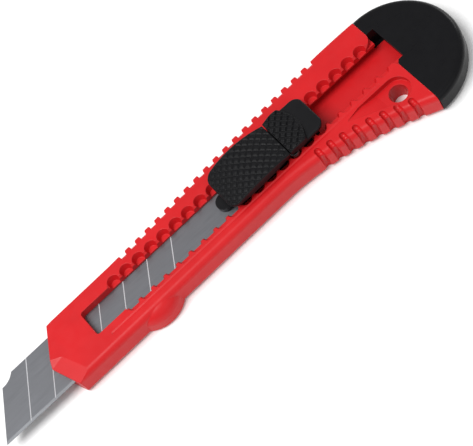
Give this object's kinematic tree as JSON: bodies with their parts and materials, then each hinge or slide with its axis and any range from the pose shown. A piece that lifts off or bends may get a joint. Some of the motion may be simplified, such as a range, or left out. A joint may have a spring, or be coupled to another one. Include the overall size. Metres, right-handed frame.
{
  "type": "snap-off utility knife",
  "caption": "Snap-off utility knife with a moulded handle, slotted blade channel, sliding thumb lock, ribbed grip and pull-off end cap with a hang hole beside it.",
  "frame": {"origin": "bottom centre of the whole knife lying on its flat back, with the blade out as it is at rest", "axes": "+X from the blade tip to the end cap, +Y from the cutting edge to the spine, +Z out of the face that carries the thumb slider"},
  "size_m": [0.1812, 0.0409, 0.014],
  "materials": {
    "handle_plastic": "semi-gloss moulded ABS with a fine grain",
    "black_plastic": "satin black moulded plastic",
    "carrier_plastic": "smooth black acetal",
    "slider_plastic": "matt black, knurled on top",
    "blade_steel": "lengthwise ground carbon steel, brighter on the ground edge",
    "spring_steel": "bright spring steel strip"
  },
  "bodies": {
    "handle": {"handle": "handle_plastic"},
    "end_cap": {"end_cap": "black_plastic"},
    "slider": {"blade": "blade_steel", "blade_carrier": "carrier_plastic", "click_spring": "spring_steel", "thumb_pad": "slider_plastic"},
    "lock": {"lock_slide": "slider_plastic"}
  },
  "joints": [
    {"name": "slider_travel", "type": "slide", "parent": "handle", "child": "slider", "axis": [1, 0, 0], "range_m": [-0.05, 0.03], "deforming": ["click_spring"]},
    {"name": "lock_travel", "type": "slide", "parent": "slider", "child": "lock", "axis": [1, 0, 0], "range_m": [0, 0.0024]},
    {"name": "cap_pull", "type": "slide", "parent": "handle", "child": "end_cap", "axis": [1, 0, 0], "range_m": [0, 0.018]}
  ]
}
